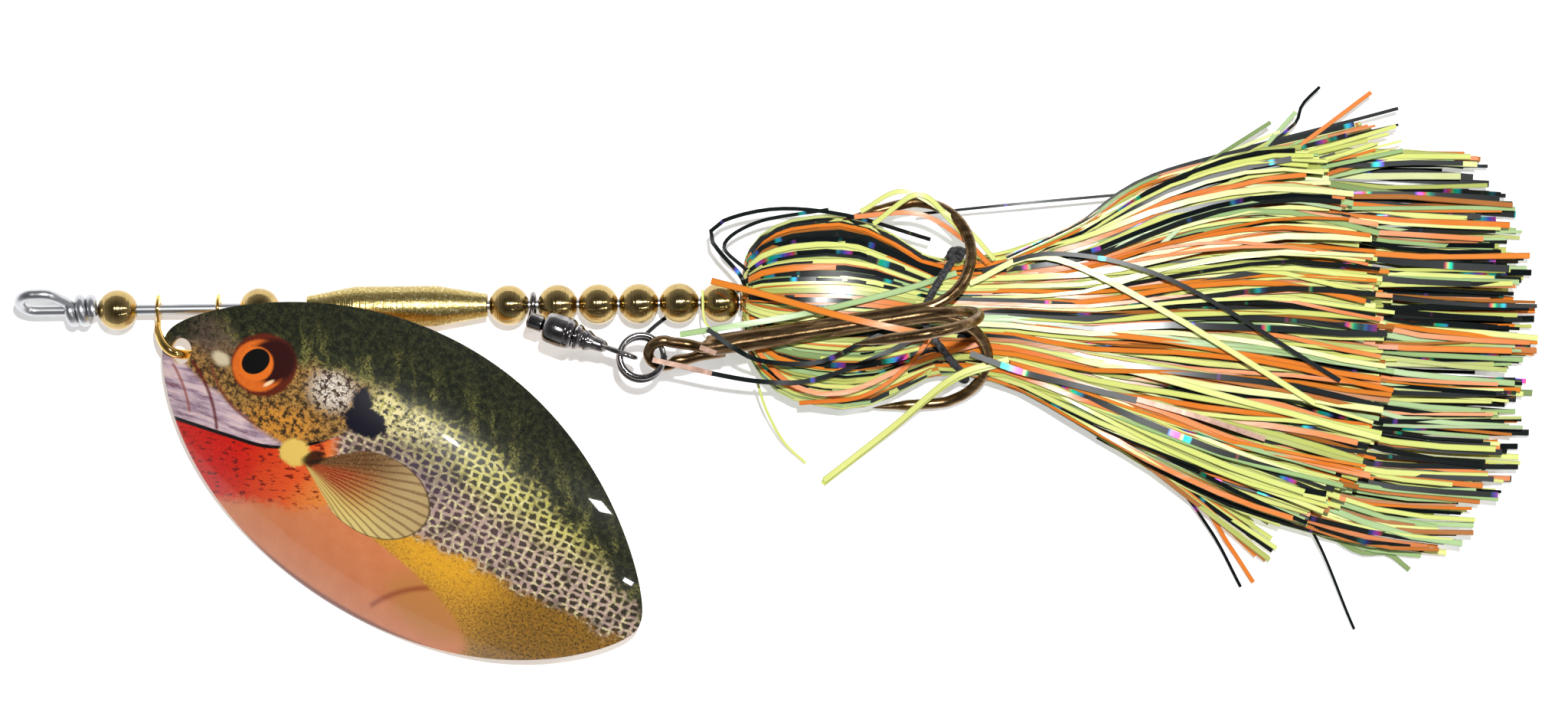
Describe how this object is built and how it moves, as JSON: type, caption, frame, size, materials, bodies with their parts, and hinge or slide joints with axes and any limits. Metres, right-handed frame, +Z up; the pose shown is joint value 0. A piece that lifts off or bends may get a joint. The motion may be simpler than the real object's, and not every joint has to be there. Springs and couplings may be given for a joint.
{
  "type": "inline spinner lure",
  "caption": "Long inline spinner: wire shaft with brass beads and body, leaf-shaped printed blade on a clevis, swivel-mounted treble hook and a banded tinsel skirt.",
  "frame": {"origin": "on the surface that the lure lies on, under the middle of its outline", "axes": "+X along the shaft from the line-tie eye to the tail, +Z up from the surface, the blade hangs towards -Y"},
  "size_m": [0.2406, 0.0778, 0.0336],
  "materials": {
    "stainless_wire": "drawn satin wire",
    "bead_brass": "polished, with fine turning rings",
    "body_brass": "satin turned brass",
    "gold_plate": "bright gold plating",
    "blade_print": "glossy clear-coated fish pattern over brass",
    "black_nickel": "bright black nickel plating",
    "bronzed_steel": "bronzed forged wire",
    "black_plastic": "matt",
    "tying_thread": "waxed winding",
    "tinsel_bright": "flat glossy ribbon, mixed chartreuse, orange and pale green",
    "tinsel_dark": "flat black holographic ribbon, mixed with bright ribbon",
    "elastic_cord": "braided matt cord"
  },
  "bodies": {
    "shaft": {"shaft_wire": "stainless_wire", "skirt_collar": "body_brass", "core_tube": "black_plastic", "front_thread": "tying_thread", "rear_thread": "tying_thread", "skirt_bulb": "tinsel_bright", "skirt_short_layer": "tinsel_bright", "skirt_long_layer": "tinsel_dark", "elastic_band": "elastic_cord"},
    "bead_1": {"bead_1": "bead_brass"},
    "bead_2": {"bead_2": "bead_brass"},
    "bead_3": {"bead_3": "bead_brass"},
    "bead_4": {"bead_4": "bead_brass"},
    "bead_5": {"bead_5": "bead_brass"},
    "bead_6": {"bead_6": "bead_brass"},
    "bead_7": {"bead_7": "bead_brass"},
    "bead_8": {"bead_8": "bead_brass"},
    "brass_body": {"brass_body": "body_brass"},
    "clevis": {"clevis": "gold_plate"},
    "blade": {"blade": "blade_print"},
    "swivel_head": {"swivel_head": "black_nickel"},
    "swivel_barrel": {"swivel_barrel": "black_nickel", "swivel_balls": "stainless_wire"},
    "swivel_tail": {"swivel_tail": "black_nickel"},
    "split_ring": {"split_ring": "black_nickel"},
    "treble": {"treble_hook_1": "bronzed_steel", "treble_hook_2": "bronzed_steel", "treble_hook_3": "bronzed_steel"}
  },
  "joints": [
    {"name": "bead_1_spin", "type": "hinge", "parent": "shaft", "child": "bead_1", "pos_m": [-0.1044, 0.0167, 0.005], "axis": [1, 0, 0], "continuous": true},
    {"name": "clevis_spin", "type": "hinge", "parent": "shaft", "child": "clevis", "pos_m": [-0.09315, 0.0167, 0.005], "axis": [1, 0, 0], "continuous": true},
    {"name": "blade_swing", "type": "hinge", "parent": "clevis", "child": "blade", "pos_m": [-0.0938, 0.0101, 0.0115], "axis": [0, 0, -1], "range_deg": [0, 40]},
    {"name": "bead_2_spin", "type": "hinge", "parent": "shaft", "child": "bead_2", "pos_m": [-0.082, 0.0167, 0.005], "axis": [1, 0, 0], "continuous": true},
    {"name": "body_spin", "type": "hinge", "parent": "shaft", "child": "brass_body", "pos_m": [-0.06, 0.0167, 0.005], "axis": [1, 0, 0], "continuous": true},
    {"name": "bead_3_spin", "type": "hinge", "parent": "shaft", "child": "bead_3", "pos_m": [-0.0426, 0.0167, 0.005], "axis": [1, 0, 0], "continuous": true},
    {"name": "bead_4_spin", "type": "hinge", "parent": "shaft", "child": "bead_4", "pos_m": [-0.0349, 0.0167, 0.005], "axis": [1, 0, 0], "continuous": true},
    {"name": "bead_5_spin", "type": "hinge", "parent": "shaft", "child": "bead_5", "pos_m": [-0.02851, 0.0167, 0.005], "axis": [1, 0, 0], "continuous": true},
    {"name": "bead_6_spin", "type": "hinge", "parent": "shaft", "child": "bead_6", "pos_m": [-0.02212, 0.0167, 0.005], "axis": [1, 0, 0], "continuous": true},
    {"name": "bead_7_spin", "type": "hinge", "parent": "shaft", "child": "bead_7", "pos_m": [-0.01573, 0.0167, 0.005], "axis": [1, 0, 0], "continuous": true},
    {"name": "bead_8_spin", "type": "hinge", "parent": "shaft", "child": "bead_8", "pos_m": [-0.00934, 0.0167, 0.005], "axis": [1, 0, 0], "continuous": true},
    {"name": "swivel_orbit", "type": "hinge", "parent": "shaft", "child": "swivel_head", "pos_m": [-0.03875, 0.0167, 0.005], "axis": [1, 0, 0], "range_deg": [-10, 10]},
    {"name": "barrel_spin", "type": "hinge", "parent": "swivel_head", "child": "swivel_barrel", "pos_m": [-0.0344, 0.0125, 0.0102], "axis": [0.9338, -0.3432, 0.101], "continuous": true},
    {"name": "swivel_twist", "type": "hinge", "parent": "swivel_head", "child": "swivel_tail", "pos_m": [-0.0344, 0.0125, 0.0102], "axis": [0.9338, -0.3432, 0.101], "range_deg": [-5, 5]},
    {"name": "split_ring_swing", "type": "hinge", "parent": "swivel_tail", "child": "split_ring", "pos_m": [-0.02495, 0.00905, 0.0115], "axis": [-0.345, -0.9386, 0], "range_deg": [0, 15]},
    {"name": "treble_swing", "type": "hinge", "parent": "split_ring", "child": "treble", "pos_m": [-0.01815, 0.0083, 0.0115], "axis": [0.1392, -0.9903, 0], "range_deg": [0, 40]}
  ]
}
